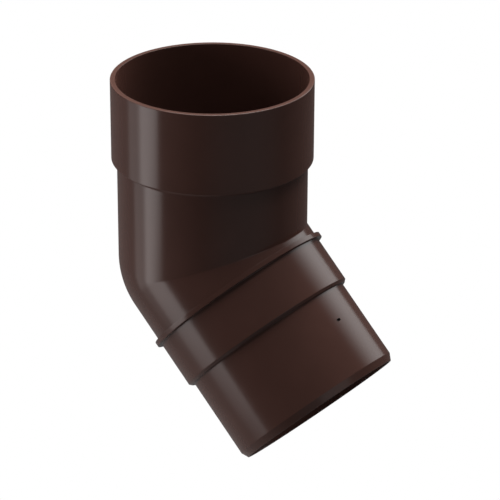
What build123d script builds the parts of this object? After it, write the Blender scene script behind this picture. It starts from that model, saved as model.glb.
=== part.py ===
from build123d import *
import math
import os

# One-piece moulded elbow for a round downspout. Sizes are in millimetres.
# From the top it has a socket, a short straight leg, a mitred bend with a round heel,
# a stop ring, a collar as wide as the pipe, and a spigot that goes into the next pipe.
# The origin is the middle of the ledge inside the socket, where the upper pipe stops.
# +Z is up along the socket, and the spigot leaves down and towards +X.

# The pipe on both sides of the elbow
pipe_diameter = 82.0
pipe_wall = 2.0

# Gaps to the pipe, each on the radius
socket_clearance = 0.2
spigot_clearance = 0.25

# Walls
socket_wall = 2.2
body_wall = 2.4
ledge_thickness = 2.2

# Upper leg
socket_depth = 33.4
straight_length = 28.2

# Bend, from straight down
bend_angle = 45.0

# Lower leg
ring_gap = 2.3
ring_width = 2.1
ring_height = 1.9
collar_length = 22.1
spigot_length = 39.4

# Edges
mouth_rounding = 0.4
collar_chamfer = 1.35
shoulder_chamfer = 0.25
ring_chamfer = 0.25
tip_chamfer_length = 3.1
tip_chamfer_depth = 1.5

# Mark of the moulding gate on the top line of the spigot
gate_distance = 13.5
gate_width = 2.4
gate_height = 1.2
gate_depth = 0.8

# Cutters reach past the surface that they open
cut_margin = 1.0

# Radii that follow from the pipe
body_radius = pipe_diameter / 2
body_bore = body_radius - body_wall
socket_bore = body_radius + socket_clearance
socket_radius = socket_bore + socket_wall
spigot_radius = body_radius - pipe_wall - spigot_clearance
spigot_bore = spigot_radius - body_wall
ring_radius = body_radius + ring_height
tip_radius = spigot_radius - tip_chamfer_depth

# Heights on the upper leg. The crease of the mitre climbs this far above its centre.
crease_rise = body_radius * math.tan(math.radians(bend_angle / 2))
mouth_z = socket_depth
shoulder_z = -ledge_thickness
mitre_z = shoulder_z - straight_length - crease_rise

# Distances along the lower leg, from the centre of the mitre
ring_start = crease_rise + ring_gap
ring_end = ring_start + ring_width
collar_end = ring_end + collar_length
tip_end = collar_end + spigot_length
taper_end = collar_end - body_wall
taper_start = taper_end - (body_bore - spigot_bore)

# The lower leg is drawn upright and then laid along this plane's normal.
# Its x direction is the top line of the leg.
tilt = math.radians(bend_angle)
lower_leg = Plane(
    origin=(0, 0, mitre_z),
    x_dir=(math.cos(tilt), 0, math.sin(tilt)),
    z_dir=(math.sin(tilt), 0, -math.cos(tilt)),
)


def turned(corners):
    """Solid of revolution about Z. Each corner is its radius, its height and its rounding."""
    points = [(radius, height) for radius, height, rounding in corners]
    roundings = [rounding for radius, height, rounding in corners]
    outline = FilletPolyline(*points, radius=roundings, close=True)
    return revolve(Plane.XZ * make_face(outline), Axis.Z)


def heel(radius):
    """Wedge of a ball that rounds the outside of the bend between the two legs."""
    half_disc = make_face([
        ThreePointArc((0, radius), (-radius, 0), (0, -radius)),
        Line((0, -radius), (0, radius)),
    ])
    wedge = revolve(half_disc, Axis.Y, -bend_angle)
    return Pos(0, 0, mitre_z) * wedge


def outer_form():
    """The elbow as if it were solid."""
    upper = turned([
        (0, mitre_z, 0),
        (body_radius, mitre_z, 0),
        (body_radius, shoulder_z, 0),
        (socket_radius - shoulder_chamfer, shoulder_z, 0),
        (socket_radius, shoulder_z + shoulder_chamfer, 0),
        (socket_radius, mouth_z, mouth_rounding),
        (0, mouth_z, 0),
    ])
    lower = turned([
        (0, 0, 0),
        (body_radius, 0, 0),
        (body_radius, ring_start, 0),
        (ring_radius - ring_chamfer, ring_start, 0),
        (ring_radius, ring_start + ring_chamfer, 0),
        (ring_radius, ring_end - ring_chamfer, 0),
        (ring_radius - ring_chamfer, ring_end, 0),
        (body_radius, ring_end, 0),
        (body_radius, collar_end - collar_chamfer, 0),
        (body_radius - collar_chamfer, collar_end, 0),
        (spigot_radius, collar_end, 0),
        (spigot_radius, tip_end - tip_chamfer_length, 0),
        (tip_radius, tip_end, 0),
        (0, tip_end, 0),
    ])
    return upper + heel(body_radius) + lower_leg * lower


def water_way():
    """The hollow: socket bore, ledge, bend, and a taper down to the spigot bore."""
    upper = turned([
        (0, mitre_z, 0),
        (body_bore, mitre_z, 0),
        (body_bore, 0, 0),
        (socket_bore, 0, 0),
        (socket_bore, mouth_z + cut_margin, 0),
        (0, mouth_z + cut_margin, 0),
    ])
    lower = turned([
        (0, 0, 0),
        (body_bore, 0, 0),
        (body_bore, taper_start, 0),
        (spigot_bore, taper_end, 0),
        (spigot_bore, tip_end + cut_margin, 0),
        (0, tip_end + cut_margin, 0),
    ])
    return upper + heel(body_bore) + lower_leg * lower


def gate_mark():
    """Narrow pocket across the top line of the spigot."""
    top_line = lower_leg * Plane(
        origin=(spigot_radius, 0, collar_end + gate_distance),
        x_dir=(0, 1, 0),
        z_dir=(1, 0, 0),
    )
    slot = top_line * SlotOverall(gate_width, gate_height)
    return extrude(slot, cut_margin) + extrude(slot, -gate_depth)


elbow_body = outer_form() - water_way() - gate_mark()

os.makedirs("parts", exist_ok=True)
export_step(elbow_body, "parts/elbow_body.step")
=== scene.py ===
"""Looks for a downspout elbow: one brown PVC moulding in a plain pale studio."""
import math
from collections import namedtuple

import bmesh
import bpy
import numpy as np
from bpy.props import FloatProperty, FloatVectorProperty, IntProperty, PointerProperty
from mathutils import Matrix, Quaternion, Vector


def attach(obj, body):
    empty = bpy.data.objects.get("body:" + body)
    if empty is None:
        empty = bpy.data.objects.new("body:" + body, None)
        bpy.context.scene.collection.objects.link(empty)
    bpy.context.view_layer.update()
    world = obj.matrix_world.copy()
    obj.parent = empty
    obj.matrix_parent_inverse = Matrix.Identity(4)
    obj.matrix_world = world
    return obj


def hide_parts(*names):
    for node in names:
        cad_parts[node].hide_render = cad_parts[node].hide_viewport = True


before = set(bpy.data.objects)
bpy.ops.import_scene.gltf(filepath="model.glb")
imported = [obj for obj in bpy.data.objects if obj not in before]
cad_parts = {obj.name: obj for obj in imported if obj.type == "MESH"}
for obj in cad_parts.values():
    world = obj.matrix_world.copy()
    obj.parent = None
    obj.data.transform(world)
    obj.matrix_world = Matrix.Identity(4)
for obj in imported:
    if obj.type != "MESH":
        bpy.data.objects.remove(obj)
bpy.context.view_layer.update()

bl_info = {
    "name": "Downspout elbow",
    "version": (1, 0, 0),
    "blender": (4, 5, 0),
    "location": "View3D > Sidebar > Elbow",
    "description": "Builds a moulded downspout elbow and a plain studio around it",
    "category": "Object",
}

MM = 0.001


# Sizes, colours and the studio


def length(name, description, millimetres):
    """Length that is shown in the sidebar in the scene's own unit."""
    return FloatProperty(
        name=name, description=description, default=millimetres * MM,
        min=0.0, precision=5, subtype="DISTANCE", unit="LENGTH",
    )


def angle(name, description, degrees):
    """Angle that is kept in radians and shown in degrees."""
    return FloatProperty(
        name=name, description=description, default=math.radians(degrees),
        precision=4, subtype="ANGLE", unit="ROTATION",
    )


def level(name, description, value, highest=10.0):
    """Plain number without a unit."""
    return FloatProperty(name=name, description=description, default=value, min=0.0, max=highest)


def point(name, description, x, y, z):
    """Point in the elbow's frame, given in millimetres."""
    return FloatVectorProperty(
        name=name, description=description, default=(x * MM, y * MM, z * MM),
        size=3, precision=5, subtype="TRANSLATION", unit="LENGTH",
    )


def colour(name, description, red, green, blue):
    """Colour as the shader uses it, in linear light."""
    return FloatVectorProperty(
        name=name, description=description, default=(red, green, blue),
        size=3, min=0.0, max=1.0, subtype="COLOR",
    )


class ElbowSizes(bpy.types.PropertyGroup):
    """Sizes of the moulding.

    They are the solid's, apart from the small roundings, the softer chamfer of the collar and
    the lean of the trimmed mouth.
    """

    pipe_diameter: length("Pipe diameter", "Outside of the pipe on both sides", 82.0)
    pipe_wall: length("Pipe wall", "Wall of the pipe", 2.0)
    socket_clearance: length("Socket gap", "Gap round the pipe in the socket", 0.2)
    spigot_clearance: length("Spigot gap", "Gap round the spigot in the pipe", 0.25)
    socket_wall: length("Socket wall", "Wall of the socket", 2.2)
    body_wall: length("Body wall", "Wall of the elbow below the socket", 2.4)
    ledge_thickness: length("Ledge", "Ledge that stops the pipe", 2.2)
    socket_depth: length("Socket depth", "From the mouth to the ledge", 33.4)
    straight_length: length("Straight leg", "From the shoulder to the crease", 28.2)
    bend_angle: angle("Bend", "Turn from straight down", 45.0)
    ring_gap: length("Ring gap", "From the crease to the stop ring", 2.3)
    ring_width: length("Ring width", "Stop ring along the leg", 2.1)
    ring_height: length("Ring height", "Stop ring above the pipe's outside", 1.9)
    collar_length: length("Collar", "From the stop ring to the step", 22.1)
    spigot_length: length("Spigot", "From the step to the tip", 39.4)
    tip_chamfer_length: length("Chamfer length", "Chamfer of the tip along the leg", 3.1)
    tip_chamfer_depth: length("Chamfer depth", "Chamfer of the tip across the wall", 1.5)
    trim_rise: length("Trim", "How much higher the trimmed mouth stands on one side", 0.2)
    trim_side: angle("Trim side", "Where the trimmed mouth stands highest", 127.0)
    mouth_rounding: length("Mouth rounding", "Outer edge of the mouth", 0.4)
    bore_rounding: length("Bore rounding", "Inner edge of the mouth", 0.22)
    shoulder_rounding: length("Shoulder rounding", "Lower edge of the socket", 0.15)
    root_rounding: length("Root rounding", "Inner corner below the socket", 1.9)
    ring_crest: length("Ring crest", "Upper edge of the stop ring", 0.05)
    ring_rounding: length("Ring rounding", "Lower edge of the stop ring", 0.15)
    foot_rounding: length("Foot rounding", "Inner corners below the ring and the step", 0.4)
    collar_chamfer: length("Collar chamfer", "Lower edge of the collar", 1.1)
    chamfer_softness: length("Chamfer softness", "Corners of the collar's chamfer", 0.3)
    edge_rounding: length("Edge rounding", "Edges of the spigot's tip", 0.12)
    crease_rounding: length("Crease rounding", "Root of the crease", 0.8)
    gate_distance: length("Gate place", "From the step to the gate mark", 13.5)
    gate_width: length("Gate width", "Gate mark across the spigot", 2.4)
    gate_height: length("Gate height", "Gate mark along the spigot", 1.2)
    gate_depth: length("Gate depth", "Gate mark into the wall", 0.8)
    columns: IntProperty(
        name="Columns", description="Faces round the elbow, a multiple of four",
        default=256, min=32, max=1024, step=4,
    )


class ElbowFinish(bpy.types.PropertyGroup):
    """Brown PVC as it leaves the mould. The rim's paler brown and the pale line along its outer edge
    are painted light, and the dark inside of the gate mark is painted shade.
    """

    pvc_colour: colour("PVC", "Brown of the moulding", 0.0612, 0.0273, 0.0212)
    # Painted light: this paler brown brightens the rim's upward face beyond what the lamps give it.
    rim_painted_light_colour: colour("Mouth rim", "Paler brown of the trimmed rim", 0.093, 0.0435, 0.0332)
    # Painted highlight: this pale line along the rim's outer edge stands in for the glint of its
    # rounding.
    painted_glint_colour: colour("Mouth burr", "Palest brown, along the rim's outer edge", 0.118, 0.061, 0.049)
    # Painted shade: this dark brown stands in for the shade inside the gate mark's recess.
    gate_shade_colour: colour("Gate mark", "Dark brown inside the gate mark", 0.006, 0.003, 0.0025)
    mottle: level("Mottle", "Share by which the brown varies", 0.05, 1.0)
    cloud_size: length("Clouds", "Size of the slow clouds in the brown", 30.0)
    gloss_roughness: level("Roughness", "Roughness of the satin skin", 0.175, 1.0)
    grain_roughness: level("Roughness grain", "Share by which roughness varies", 0.12, 1.0)
    rim_dullness: level("Rim dullness", "How much rougher the trimmed rim is", 0.08, 1.0)
    gate_dullness: level("Gate dullness", "How much rougher the gate mark's inside is", 0.5, 1.0)
    grain_size: length("Grain", "Size of the fine grain", 0.5)
    grain_height: length("Grain height", "Height of the fine grain", 0.0011)
    bloom: level("Bloom", "Faint scatter of the skin seen at a low angle", 0.055, 1.0)
    bloom_colour: colour("Bloom colour", "Colour of that scatter", 0.9, 0.42, 0.33)
    wave_size: length("Wave", "Size of the slow waves in the skin", 18.0)
    wave_height: length("Wave height", "Height of the slow waves", 0.02)


class ElbowStudio(bpy.types.PropertyGroup):
    """Floor, lamps and camera."""

    floor_colour: colour("Floor", "Pale floor below the elbow", 0.8, 0.8, 0.8)
    floor_radius: length("Floor radius", "Radius of the round floor", 1200.0)
    floor_drop: length("Floor drop", "From the elbow's origin down to the floor", 2000.0)
    floor_white: level("Floor white", "Share of plain white in the middle of the floor", 0.75, 1.0)
    floor_middle: level("Floor middle", "Middle of the floor as a share of its radius", 0.3, 1.0)
    floor_gloss: level("Floor in the gloss", "How bright the floor looks in the gloss", 0.1, 1.0)
    floor_gloss_share: level("Floor gloss share", "Share of that look in the gloss", 0.85, 1.0)
    ambient: level("Ambient", "Even light from all round", 0.142)
    fill_left: level("Fill at the left", "More soft light from the left", 1.0)
    fill_right: level("Fill at the right", "More soft light from high at the back right", 1.66)
    room_level: level("Room", "How bright the room looks in the gloss", 0.055)
    room_low: level("Room below", "How much brighter its lower part looks", 0.16)
    room_front: level("Room in front", "How much brighter its part at the front right looks", 0.12)
    room_window: level("Room window", "How much brighter a patch at the front right looks", 0.28)
    backdrop_angle: angle("Backdrop", "Half width of the backdrop seen from the elbow", 1.5)
    backdrop_fade: level("Backdrop fade", "Where it has faded out, in half widths", 1.3)
    left_radiance: level("Left lamp", "Radiance of the large lamp at the left", 2.7)
    left_tint: colour("Left tint", "Colour of the left lamp's light", 1.0, 0.93, 0.92)
    right_radiance: level("Right lamp", "Radiance of the large lamp at the back right", 2.5)
    right_tint: colour("Right tint", "Colour of the right lamp's light", 0.98, 1.0, 1.0)
    top_radiance: level("Top lamp", "Radiance of the small lamp above", 4.0)
    lamp_aim: point("Lamp aim", "Point that the lamps are turned to", 20.0, 0.0, -40.0)
    camera_aim: point("Camera aim", "Point that the camera is turned to", 18.7, 2.2, -42.3)
    camera_distance: length("Distance", "From the camera to its aim", 1144.8)
    camera_azimuth: angle("Azimuth", "Camera's place round the elbow", -52.776)
    camera_elevation: angle("Elevation", "Camera's place above the elbow", 24.508)
    camera_roll: angle("Roll", "Camera's turn about its own axis", 0.225)
    camera_lens: FloatProperty(
        name="Lens", description="Focal length", default=190.9, min=1.0, unit="CAMERA",
    )


# Shader sockets as Python values


class Value:
    """One output socket. Arithmetic on it adds Math nodes to the same tree."""

    def __init__(self, tree, socket):
        self.tree = tree
        self.socket = socket

    def node(self, kind, settings=None, out=0, **inputs):
        """Adds a node of that kind. Settings come first, then the values or links of its sockets.

        A socket goes by its name, with _ for each space, or by i and its number.
        """
        added = self.tree.nodes.new(kind)
        for key, value in (settings or {}).items():
            setattr(added, key, value)
        for key, value in inputs.items():
            index = int(key[1:]) if key[0] == "i" and key[1:].isdigit() else key.replace("_", " ")
            target = added.inputs[index]
            if isinstance(value, Value):
                self.tree.links.new(value.socket, target)
            else:
                target.default_value = value
        return Value(self.tree, added.outputs[out] if added.outputs else None)

    def sibling(self, name):
        """Another output of the node that this value comes from."""
        return Value(self.tree, self.socket.node.outputs[name])

    def maths(self, operation, first, second):
        """Math node on two values or numbers."""
        return self.node("ShaderNodeMath", {"operation": operation}, i0=first, i1=second)

    def __add__(self, other):
        return self.maths("ADD", self, other)

    def __sub__(self, other):
        return self.maths("SUBTRACT", self, other)

    def __mul__(self, other):
        return self.maths("MULTIPLY", self, other)

    __radd__ = __add__
    __rmul__ = __mul__

    def __rsub__(self, other):
        return self.maths("SUBTRACT", other, self)

    def larger(self, other):
        """The larger of this value and the other."""
        return self.maths("MAXIMUM", self, other)

    def length(self):
        """Length of this vector."""
        return self.node("ShaderNodeVectorMath", {"operation": "LENGTH"}, out=1, i0=self)

    def dot(self, other):
        """Dot product of this vector and the other."""
        return self.node(
            "ShaderNodeVectorMath", {"operation": "DOT_PRODUCT"}, out=1, i0=self, i1=other,
        )

    def smooth(self, start, end):
        """0 at start, 1 at end and an even ease between them."""
        return self.node(
            "ShaderNodeMapRange", {"interpolation_type": "SMOOTHSTEP"},
            Value=self, From_Min=start, From_Max=end,
        )

    def blend(self, first, second):
        """Colour that goes from first to second as this value goes from 0 to 1."""
        return self.node(
            "ShaderNodeMix", {"data_type": "RGBA"}, out=2, i0=self, i6=first, i7=second,
        )


def empty_tree(owner):
    """Clears the owner's node tree and returns a value without a socket to build it on."""
    owner.use_nodes = True
    owner.node_tree.nodes.clear()
    return Value(owner.node_tree, None)


def opaque(rgb):
    """The colour with full alpha."""
    return (*rgb, 1.0)


# Elbow shape


class ElbowShape:
    """Works out the moulding's points, column by column round the pipe.

    Every column runs down the outside from the mouth to the tip and back up the water way,
    so all columns have the same number of points. Round the bend a column keeps its Y.
    """

    # Steps round the bend, along the long upper leg and along each shorter straight stretch
    turn_steps = 24
    long_steps = 14
    short_steps = 8

    # The crease loses its rounding over this width, towards the sides of the pipe
    crease_fade = 4 * MM

    # The outline closes in the socket's bore, about this far below the mouth
    seam_depth = 1 * MM

    def __init__(self, sizes):
        self.sizes = sizes
        self.tilt = sizes.bend_angle
        self.half_tilt_tan = math.tan(self.tilt / 2)
        self.body_radius = sizes.pipe_diameter / 2
        self.body_bore = self.body_radius - sizes.body_wall
        self.socket_bore = self.body_radius + sizes.socket_clearance
        self.socket_radius = self.socket_bore + sizes.socket_wall
        self.spigot_radius = self.body_radius - sizes.pipe_wall - sizes.spigot_clearance
        self.spigot_bore = self.spigot_radius - sizes.body_wall
        crease_rise = self.body_radius * self.half_tilt_tan
        self.mitre_z = -sizes.ledge_thickness - sizes.straight_length - crease_rise
        self.ring_start = crease_rise + sizes.ring_gap
        self.ring_end = self.ring_start + sizes.ring_width
        self.collar_end = self.ring_end + sizes.collar_length
        self.tip_end = self.collar_end + sizes.spigot_length
        turns = np.linspace(0.0, 2 * math.pi, sizes.columns, endpoint=False)
        self.cos = np.cos(turns)
        self.sin = np.sin(turns)
        self.trim = sizes.trim_rise * (1 + np.cos(turns - sizes.trim_side)) / 2

    def upper(self, radius, height):
        """Row of points round the upper leg. The height may differ from column to column.

        Above the ledge the rows lean with the trimmed mouth, which isn't quite square.
        """
        lean = self.trim * np.clip(height / self.sizes.socket_depth, 0.0, 1.0)
        return np.stack([radius * self.cos, radius * self.sin, height + lean], axis=1)

    def lower(self, radius, distance):
        """Row of points round the lower leg, a distance along it from the mitre's centre."""
        across = radius * self.cos
        cos, sin = math.cos(self.tilt), math.sin(self.tilt)
        x = across * cos + distance * sin
        z = self.mitre_z + across * sin - distance * cos
        return np.stack([x, radius * self.sin, z], axis=1)

    def crease(self, radius):
        """Each column's reach towards the crease, its rounding and its climb on both legs."""
        across = radius * self.cos
        rounding = self.sizes.crease_rounding * np.clip(across / self.crease_fade, 0.0, 1.0)
        climb = np.where(across > 0, (across + rounding) * self.half_tilt_tan, 0.0)
        return across, rounding, climb

    def bend(self, radius):
        """Rows through the bend: a ball on the heel and a small rounding in the crease."""
        across, rounding, climb = self.crease(radius)
        reach = np.where(across > 0, rounding, -across)
        centre_x = np.where(across > 0, across + rounding, 0.0)
        rows = []
        for turn in np.linspace(0.0, self.tilt, self.turn_steps + 1):
            x = centre_x - reach * math.cos(turn)
            z = self.mitre_z + climb - reach * math.sin(turn)
            rows.append(np.stack([x, radius * self.sin, z], axis=1))
        return rows

    def socket_outline(self, leg_top):
        """Over the mouth, down the socket and round its shoulder to the top of the leg."""
        sizes = self.sizes
        mouth, shoulder = sizes.socket_depth, -sizes.ledge_thickness
        return rounded([
            (self.socket_bore, mouth, sizes.bore_rounding),
            (self.socket_radius, mouth, sizes.mouth_rounding),
            (self.socket_radius, shoulder, sizes.shoulder_rounding),
            (self.body_radius, shoulder, sizes.root_rounding),
            (self.body_radius, leg_top, 0.0),
        ], start=(self.socket_bore, mouth - self.seam_depth))

    def leg_outline(self, taper_start):
        """Over the ring, the collar and the spigot to the tip, and back up to the taper's start."""
        sizes = self.sizes
        ring_radius = self.body_radius + sizes.ring_height
        taper_end = self.collar_end - sizes.body_wall
        return rounded([
            (self.body_radius, self.ring_start, 0.0),
            (ring_radius, self.ring_start, sizes.ring_crest),
            (ring_radius, self.ring_end, sizes.ring_rounding),
            (self.body_radius, self.ring_end, sizes.foot_rounding),
            (self.body_radius, self.collar_end - sizes.collar_chamfer, sizes.chamfer_softness),
            (self.body_radius - sizes.collar_chamfer, self.collar_end, sizes.chamfer_softness),
            (self.spigot_radius, self.collar_end, sizes.foot_rounding),
            (self.spigot_radius, self.tip_end - sizes.tip_chamfer_length, sizes.edge_rounding),
            (self.spigot_radius - sizes.tip_chamfer_depth, self.tip_end, sizes.edge_rounding),
            (self.spigot_bore, self.tip_end, sizes.edge_rounding),
            (self.spigot_bore, taper_end, 0.0),
            (self.body_bore, taper_start, 0.0),
        ])

    def ledge_outline(self):
        """Over the ledge and up the socket's bore, nearly to where the outline started."""
        return rounded([
            (self.body_bore, 0.0, 0.0),
            (self.socket_bore, 0.0, 0.0),
            (self.socket_bore, self.sizes.socket_depth - self.seam_depth, 0.0),
        ])[:-1]

    def rows(self):
        """All rows in order, from the mouth's inner edge round to it again."""
        sizes = self.sizes
        climb = self.crease(self.body_radius)[2]
        inner_climb = self.crease(self.body_bore)[2]
        leg_top = -sizes.ledge_thickness - 2 * sizes.root_rounding
        taper_start = self.collar_end - sizes.body_wall - (self.body_bore - self.spigot_bore)
        outer_leg = between(leg_top, self.mitre_z + climb, self.long_steps)
        outer_foot = between(climb, self.ring_start, self.short_steps)
        inner_foot = between(taper_start, inner_climb, self.short_steps)
        inner_leg = between(self.mitre_z + inner_climb, 0.0, self.short_steps)
        rows = [self.upper(radius, height) for radius, height in self.socket_outline(leg_top)]
        rows += [self.upper(self.body_radius, height) for height in outer_leg]
        rows += self.bend(self.body_radius)
        rows += [self.lower(self.body_radius, distance) for distance in outer_foot]
        rows += [self.lower(radius, distance) for radius, distance in self.leg_outline(taper_start)]
        rows += [self.lower(self.body_bore, distance) for distance in inner_foot]
        rows += reversed(self.bend(self.body_bore))
        rows += [self.upper(self.body_bore, height) for height in inner_leg]
        rows += [self.upper(radius, height) for radius, height in self.ledge_outline()]
        return rows

    def gate(self):
        """Place of the gate mark: out of the spigot as X, across as Y, up the leg as Z."""
        along = self.collar_end + self.sizes.gate_distance
        cos, sin = math.cos(self.tilt), math.sin(self.tilt)
        return Matrix((
            (cos, 0, -sin, self.spigot_radius * cos + along * sin),
            (0, 1, 0, 0),
            (sin, 0, cos, self.mitre_z + self.spigot_radius * sin - along * cos),
            (0, 0, 0, 1),
        ))


def between(start, end, steps):
    """Values strictly between two, close together at both ends. Each may be a whole row."""
    shares = [(1 - math.cos(math.pi * step / steps)) / 2 for step in range(1, steps)]
    return [start + (end - start) * share for share in shares]


def rounded(corners, start=None, steps=6):
    """Outline through corners of (radius, height, rounding), with an arc at each rounding.

    The last corner stays sharp, and so does the first if no start, the point before it, is given.
    """
    points = [Vector((radius, height)) for radius, height, rounding in corners]
    roundings = [rounding for radius, height, rounding in corners]
    points_before = [Vector(start) if start else None] + points[:-1]
    points_after = points[1:] + [None]
    outline = []
    for corner, before, after, rounding in zip(points, points_before, points_after, roundings):
        if rounding == 0 or before is None or after is None:
            outline.append(tuple(corner))
            continue
        inward = (before - corner).normalized()
        outward = (after - corner).normalized()
        opening = inward.angle(outward) / 2
        reach = rounding / math.tan(opening)
        centre = corner + (inward + outward).normalized() * (rounding / math.sin(opening))
        first = corner + inward * reach - centre
        final = corner + outward * reach - centre
        sweep = first.angle_signed(final)
        for step in range(steps + 1):
            turn = -sweep * step / steps
            cos, sin = math.cos(turn), math.sin(turn)
            spoke = Vector((first.x * cos - first.y * sin, first.x * sin + first.y * cos))
            outline.append(tuple(centre + spoke))
    return hold_edges(outline)


def hold_edges(outline, hold=0.25 * MM, longest=6 * MM):
    """Adds points near the ends of long runs, which keeps the shading of each edge narrow."""
    held = [outline[0]]
    for here, there in zip(outline, outline[1:]):
        here, there = Vector(here), Vector(there)
        run = (there - here).length
        if run > 3 * hold:
            pieces = max(1, math.ceil(run / longest))
            shares = [hold / run] + [step / pieces for step in range(1, pieces)] + [1 - hold / run]
            held += [tuple(here.lerp(there, share)) for share in shares]
        held.append(tuple(there))
    return held


def mesh_from_rows(name, rows, weld=0.002 * MM):
    """Closed mesh of quads from rows of points, joined side to side and last to first."""
    count, columns = len(rows), len(rows[0])
    index = np.arange(count * columns).reshape(count, columns)
    below = np.roll(index, -1, axis=0)
    faces = np.stack([
        index, below, np.roll(below, -1, axis=1), np.roll(index, -1, axis=1),
    ], axis=-1).reshape(-1, 4)
    mesh = bpy.data.meshes.new(name)
    mesh.from_pydata(np.concatenate(rows).tolist(), [], faces.tolist())
    shape = bmesh.new()
    shape.from_mesh(mesh)
    bmesh.ops.remove_doubles(shape, verts=shape.verts, dist=weld)
    bmesh.ops.recalc_face_normals(shape, faces=shape.faces)
    shape.to_mesh(mesh)
    shape.free()
    return mesh


def place_in_scene(name, data):
    """New object with that mesh, lamp or camera in it."""
    made = bpy.data.objects.new(name, data)
    bpy.context.scene.collection.objects.link(made)
    return made


def slot_cutter(shape, end_steps=8, margin=1 * MM):
    """Rounded slot that reaches from above the spigot's skin down to the mark's floor."""
    sizes = shape.sizes
    end = sizes.gate_height / 2
    straight = sizes.gate_width / 2 - end
    cutter = bmesh.new()
    ring = []
    for side in (1, -1):
        for step in range(end_steps + 1):
            turn = math.pi * (step / end_steps - 0.5)
            y = side * (straight + end * math.cos(turn))
            z = side * end * math.sin(turn)
            ring.append(cutter.verts.new((margin, y, z)))
    top = cutter.faces.new(ring)
    depth = bmesh.ops.extrude_face_region(cutter, geom=[top])
    sunk = [part for part in depth["geom"] if isinstance(part, bmesh.types.BMVert)]
    bmesh.ops.translate(cutter, verts=sunk, vec=(-margin - sizes.gate_depth, 0, 0))
    bmesh.ops.recalc_face_normals(cutter, faces=cutter.faces)
    bmesh.ops.transform(cutter, matrix=shape.gate(), verts=cutter.verts)
    mesh = bpy.data.meshes.new("gate_cutter")
    cutter.to_mesh(mesh)
    cutter.free()
    return place_in_scene("gate_cutter", mesh)


def cut(body, cutter):
    """Takes the cutter's shape out of the body and deletes the cutter."""
    trim = body.modifiers.new("gate_mark", "BOOLEAN")
    trim.operation = "DIFFERENCE"
    trim.solver = "EXACT"
    trim.object = cutter
    graph = bpy.context.evaluated_depsgraph_get()
    result = bpy.data.meshes.new_from_object(body.evaluated_get(graph))
    body.modifiers.clear()
    body.data = result
    bpy.data.objects.remove(cutter)


# Finish of the moulding

# Edges that turn by more than this stay sharp
SHARP_TURN = math.radians(32)

# Where each part of the finish starts and where it is full
CLOUD_LIMITS = (0.35, 0.65)  # in the noise of the clouds
# Painted light and rougher skin on the trimmed rim
RIM_DEPTHS = (1 * MM, 0.3 * MM)  # below the mouth
RIM_SLOPES = (0.5, 0.9)  # in the upward part of the skin's normal
# Painted highlight along the rim's outer edge
PAINTED_GLINT_INSETS = (0.8 * MM, 0.2 * MM)  # inside the rim's outer edge
# Painted shade and rougher skin inside the gate mark
GATE_DEPTHS = (0.05 * MM, 0.25 * MM)  # below the spigot's skin

# Past the gate mark's ends: where its painted shade and rougher skin start to fade and where they are
# gone
GATE_MARGINS = (0.4 * MM, 0.8 * MM)

# Noise varies about this value
NOISE_MIDDLE = 0.5


def noise(place, size, detail, roughness):
    """Noise with clouds of about that size."""
    return place.node(
        "ShaderNodeTexNoise", Vector=place, Scale=1 / size, Detail=detail, Roughness=roughness,
    )


def axis_distance(place):
    """Distance of a place from the socket's axis."""
    level_part = place.node(
        "ShaderNodeVectorMath", {"operation": "MULTIPLY"}, i0=place, i1=(1.0, 1.0, 0.0),
    )
    return level_part.length()


def rim_share(place, shape):
    """1 on the trimmed rim and 0 on the rest of the elbow."""
    height = place.node("ShaderNodeSeparateXYZ", out=2, i0=place)
    facing = place.node("ShaderNodeNewGeometry", out=1)
    upward = place.node("ShaderNodeSeparateXYZ", out=2, i0=facing)
    start, full = (shape.sizes.socket_depth - depth for depth in RIM_DEPTHS)
    return height.smooth(start, full) * upward.smooth(*RIM_SLOPES)


def painted_glint_share(place, shape):
    """1 along the rim's outer edge, where a highlight is painted, and 0 on the rest of the rim."""
    start, full = (shape.socket_radius - inset for inset in PAINTED_GLINT_INSETS)
    return axis_distance(place).smooth(start, full)


def gate_shade_and_dullness_share(place, shape):
    """1 inside the gate mark, where shade is painted and the skin is rougher, and 0 on the rest of
    the elbow.
    """
    mark = shape.gate()
    centre, inward = mark.to_translation(), -mark.col[0].to_3d()
    offset = place.node("ShaderNodeVectorMath", {"operation": "SUBTRACT"}, i0=place, i1=centre)
    start, gone = (shape.sizes.gate_width / 2 + margin for margin in GATE_MARGINS)
    near = 1.0 - offset.length().smooth(start, gone)
    return offset.dot(inward).smooth(*GATE_DEPTHS) * near


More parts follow.
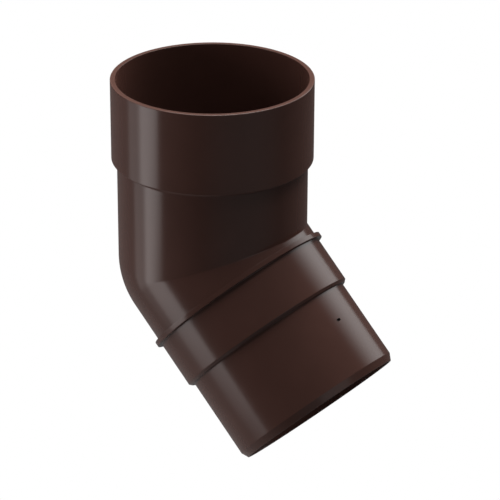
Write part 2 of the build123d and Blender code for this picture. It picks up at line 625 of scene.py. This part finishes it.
def moulded_pvc(finish, shape):
    """Satin brown PVC: slow colour clouds, fine grain, painted light on the trimmed rim, a painted
    highlight along its outer edge and painted shade inside the gate mark.
    """
    material = bpy.data.materials.new("moulded_pvc")
    tree = empty_tree(material)
    place = tree.node("ShaderNodeTexCoord", out=3)
    clouds = noise(place, finish.cloud_size, detail=3.0, roughness=0.55)
    grain = noise(place, finish.grain_size, detail=2.0, roughness=0.6)
    waves = noise(place, finish.wave_size, detail=1.0, roughness=0.4)
    rim = rim_share(place, shape)
    sunk = gate_shade_and_dullness_share(place, shape)

    dark = [channel * (1 - finish.mottle) for channel in finish.pvc_colour]
    light = [channel * (1 + finish.mottle) for channel in finish.pvc_colour]
    brown = clouds.smooth(*CLOUD_LIMITS).blend(opaque(dark), opaque(light))
    # Painted light makes the trimmed rim paler, with a painted highlight along its outer edge.
    glint = painted_glint_share(place, shape)
    trimmed = glint.blend(opaque(finish.rim_painted_light_colour), opaque(finish.painted_glint_colour))
    # Painted shade darkens the inside of the gate mark.
    skin = sunk.blend(rim.blend(brown, trimmed), opaque(finish.gate_shade_colour))

    spread = finish.gloss_roughness * finish.grain_roughness
    varied = (grain - NOISE_MIDDLE) * (2 * spread) + (clouds - NOISE_MIDDLE) * spread
    even = varied + finish.gloss_roughness
    roughness = even + rim * finish.rim_dullness + sunk * finish.gate_dullness

    relief = waves * (finish.wave_height / MM) + grain * (finish.grain_height / MM)
    bump = tree.node("ShaderNodeBump", Strength=1.0, Distance=MM, Height=relief)
    shader = tree.node(
        "ShaderNodeBsdfPrincipled", Base_Color=skin, Roughness=roughness, Normal=bump, IOR=1.46,
        Sheen_Weight=finish.bloom, Sheen_Roughness=0.5, Sheen_Tint=opaque(finish.bloom_colour),
    )
    tree.node("ShaderNodeOutputMaterial", Surface=shader)
    return material


# Floor and room

# A soft patch of the room has its middle, in degrees to the camera's right and in degrees up,
# and two cosines of the angle from that middle: where the patch starts and where it is full
Patch = namedtuple("Patch", "turn rise start full")
LOW_ROOM = Patch(turn=-110.0, rise=-70.0, start=0.3, full=1.0)
FRONT_ROOM = Patch(turn=38.0, rise=-8.0, start=0.6, full=1.0)
WINDOW = Patch(turn=46.0, rise=4.0, start=0.9135, full=0.956)
LEFT_FILL = Patch(turn=-115.0, rise=-10.0, start=0.3, full=1.0)
RIGHT_FILL = Patch(turn=150.0, rise=60.0, start=0.7, full=1.0)


def ray_kinds(tree):
    """Three values that are 1 for camera, for glossy and for transmission rays."""
    camera = tree.node("ShaderNodeLightPath", out=0)
    return camera, camera.sibling("Is Glossy Ray"), camera.sibling("Is Transmission Ray")


def pale_floor(studio):
    """Plain pale floor that keeps a soft shadow and meets the white backdrop."""
    material = bpy.data.materials.new("pale_floor")
    tree = empty_tree(material)
    camera, glossy, through = ray_kinds(tree)
    place = tree.node("ShaderNodeTexCoord", out=3)
    middle = studio.floor_radius * studio.floor_middle
    edge_share = axis_distance(place).smooth(middle, studio.floor_radius)
    white_share = edge_share * (1 - studio.floor_white) + studio.floor_white
    seen = camera.larger(through) * white_share + glossy * studio.floor_gloss_share
    lit = tree.node("ShaderNodeBsdfDiffuse", Color=opaque(studio.floor_colour))
    shade = glossy.blend(opaque([1.0] * 3), opaque([studio.floor_gloss] * 3))
    white = tree.node("ShaderNodeEmission", Color=shade, Strength=1.0)
    shader = tree.node("ShaderNodeMixShader", i0=seen, i1=lit, i2=white)
    tree.node("ShaderNodeOutputMaterial", Surface=shader)
    return material


def round_floor(studio):
    """Round floor disc with its centre under the elbow."""
    disc = bmesh.new()
    bmesh.ops.create_circle(disc, cap_ends=True, segments=96, radius=studio.floor_radius)
    bmesh.ops.translate(disc, verts=disc.verts, vec=(0, 0, -studio.floor_drop))
    mesh = bpy.data.meshes.new("floor")
    disc.to_mesh(mesh)
    disc.free()
    floor = place_in_scene("floor", mesh)
    floor.data.materials.append(pale_floor(studio))


def direction_at(azimuth, elevation):
    """Direction of length 1 at that azimuth and elevation, both in radians."""
    level_reach = math.cos(elevation)
    return Vector((
        math.cos(azimuth) * level_reach, math.sin(azimuth) * level_reach, math.sin(elevation),
    ))


def patch_share(direction, studio, patch):
    """1 in the middle of a patch of the room and 0 outside it."""
    azimuth = studio.camera_azimuth + math.radians(patch.turn)
    middle = direction_at(azimuth, math.radians(patch.rise))
    return direction.dot(middle).smooth(patch.start, patch.full)


def studio_world(studio):
    """White backdrop for the camera, and a dim room with that backdrop in it for the rest."""
    world = bpy.data.worlds.new("studio")
    bpy.context.scene.world = world
    tree = empty_tree(world)
    camera, glossy, through = ray_kinds(tree)
    direction = tree.node("ShaderNodeTexCoord", out=0)

    half_width = studio.backdrop_angle
    behind = direction.dot(-direction_at(studio.camera_azimuth, studio.camera_elevation))
    sheet = behind.smooth(math.cos(half_width * studio.backdrop_fade), math.cos(half_width))
    white = camera.larger(glossy * sheet).larger(through)

    low = patch_share(direction, studio, LOW_ROOM) * studio.room_low
    front = patch_share(direction, studio, FRONT_ROOM) * studio.room_front
    window = patch_share(direction, studio, WINDOW) * studio.room_window
    seen_room = low + front + window + studio.room_level

    left = patch_share(direction, studio, LEFT_FILL) * studio.fill_left
    right = patch_share(direction, studio, RIGHT_FILL) * studio.fill_right
    fill = left + right + studio.ambient

    strength = white.larger(glossy * (seen_room - fill) + fill)
    shader = tree.node("ShaderNodeBackground", Color=opaque([1.0] * 3), Strength=strength)
    tree.node("ShaderNodeOutputWorld", Surface=shader)


# Lamps and camera

# Light that fades across a lamp, in shares of the lamp's sides. The side and the foot each have
# the place where light starts and the place where it is full. The foot's line climbs by lean
# across the lamp. The wing is a dimmer strip: its brightness, where it ends and where light is full.
Fades = namedtuple("Fades", "side foot lean wing", defaults=(0.0, None))


def polar(azimuth, reach, height):
    """Point at that azimuth in degrees, that far from the elbow's axis, in metres."""
    turn = math.radians(azimuth)
    return Vector((reach * math.cos(turn), reach * math.sin(turn), height))


def fade_light(lamp, fades, tint):
    """Gives a lamp light that fades across it."""
    tree = empty_tree(lamp)
    across = tree.node("ShaderNodeNewGeometry", out=5)
    side = tree.node("ShaderNodeSeparateXYZ", i0=across)
    foot = side.sibling("Y")
    strength = side.smooth(*fades.side) * (foot - side * fades.lean).smooth(*fades.foot)
    if fades.wing:
        share, start, full = fades.wing
        strength = strength * (side.smooth(start, full) * (1 - share) + share)
    shader = tree.node("ShaderNodeEmission", Color=opaque(tint), Strength=strength)
    tree.node("ShaderNodeOutputLight", Surface=shader)


def softbox(name, place, width, height, radiance, aim, fades=None, tint=None):
    """Area lamp turned to its aim. A lamp whose light fades stands upright."""
    lamp = bpy.data.lights.new(name, "AREA")
    lamp.shape = "RECTANGLE"
    lamp.size, lamp.size_y = width, height
    lamp.energy = radiance * math.pi * width * height
    facing = aim - place
    if fades:
        facing.z = 0
        fade_light(lamp, fades, tint)
    made = place_in_scene(name, lamp)
    made.location = place
    made.rotation_euler = facing.to_track_quat("-Z", "Y").to_euler()
    made.visible_camera = False


def studio_lamps(studio):
    """Large lamps at the left and at the back right, and a small one above. Sizes are in metres."""
    aim = Vector(studio.lamp_aim)
    softbox(
        "softbox_left", polar(-137.9, reach=2.5, height=-0.55), width=2.1, height=2.9,
        radiance=studio.left_radiance, aim=aim, tint=studio.left_tint,
        fades=Fades(side=(-0.08, 0.1), foot=(-0.12, 0.12), lean=0.3125, wing=(0.27, 0.37, 0.5)),
    )
    softbox(
        "softbox_right", polar(64.4, reach=2.5, height=1.8), width=2.32, height=3.9,
        radiance=studio.right_radiance, aim=aim, tint=studio.right_tint,
        fades=Fades(side=(0.06, 0.79), foot=(-0.2, 0.4)),
    )
    softbox(
        "softbox_top", polar(90.0, reach=0.25, height=1.2), width=1.2, height=1.2,
        radiance=studio.top_radiance, aim=aim,
    )


def place_camera(studio):
    """Camera at the photo's place, turned to its aim."""
    data = bpy.data.cameras.new("camera")
    data.lens = studio.camera_lens
    data.sensor_width = 36.0
    data.clip_start = 0.01
    data.clip_end = 100.0
    made = place_in_scene("camera", data)
    away = direction_at(studio.camera_azimuth, studio.camera_elevation)
    made.location = Vector(studio.camera_aim) + away * studio.camera_distance
    roll = Quaternion((0, 0, 1), studio.camera_roll)
    made.rotation_mode = "QUATERNION"
    made.rotation_quaternion = away.to_track_quat("Z", "Y") @ roll
    bpy.context.scene.camera = made


# Operators


class ELBOW_OT_body(bpy.types.Operator):
    """Build the elbow's one moulding in place of its plain solid"""

    bl_idname = "elbow.body"
    bl_label = "Elbow moulding"

    def execute(self, context):
        shape = ElbowShape(context.scene.elbow_sizes)
        body = place_in_scene("elbow_moulding", mesh_from_rows("elbow_moulding", shape.rows()))
        cut(body, slot_cutter(shape))
        body.data.shade_smooth()
        body.data.set_sharp_from_angle(angle=SHARP_TURN)
        body.data.materials.clear()
        body.data.materials.append(moulded_pvc(context.scene.elbow_finish, shape))
        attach(body, "root")
        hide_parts("elbow_body")
        return {"FINISHED"}


class ELBOW_OT_studio(bpy.types.Operator):
    """Set up the floor, the backdrop, the lamps and the camera"""

    bl_idname = "elbow.studio"
    bl_label = "Studio"

    def execute(self, context):
        studio = context.scene.elbow_studio
        round_floor(studio)
        studio_world(studio)
        studio_lamps(studio)
        place_camera(studio)
        return {"FINISHED"}


class ELBOW_PT_panel(bpy.types.Panel):
    """Sizes, finish and studio of the downspout elbow"""

    bl_idname = "ELBOW_PT_panel"
    bl_label = "Downspout elbow"
    bl_space_type = "VIEW_3D"
    bl_region_type = "UI"
    bl_category = "Elbow"

    def draw(self, context):
        scene = context.scene
        for group in (scene.elbow_sizes, scene.elbow_finish, scene.elbow_studio):
            box = self.layout.box()
            for key in group.bl_rna.properties.keys():
                if key not in {"rna_type", "name"}:
                    box.prop(group, key)
        self.layout.operator(ELBOW_OT_body.bl_idname)
        self.layout.operator(ELBOW_OT_studio.bl_idname)


CLASSES = (
    ElbowSizes, ElbowFinish, ElbowStudio, ELBOW_OT_body, ELBOW_OT_studio, ELBOW_PT_panel,
)


def register():
    for listed in CLASSES:
        bpy.utils.register_class(listed)
    bpy.types.Scene.elbow_sizes = PointerProperty(type=ElbowSizes)
    bpy.types.Scene.elbow_finish = PointerProperty(type=ElbowFinish)
    bpy.types.Scene.elbow_studio = PointerProperty(type=ElbowStudio)


def unregister():
    del bpy.types.Scene.elbow_sizes
    del bpy.types.Scene.elbow_finish
    del bpy.types.Scene.elbow_studio
    for listed in reversed(CLASSES):
        bpy.utils.unregister_class(listed)


def main():
    """Builds the elbow and its studio."""
    register()
    bpy.context.scene.view_settings.view_transform = "Standard"
    bpy.ops.elbow.body()
    bpy.ops.elbow.studio()


if __name__ == "__main__":
    main()
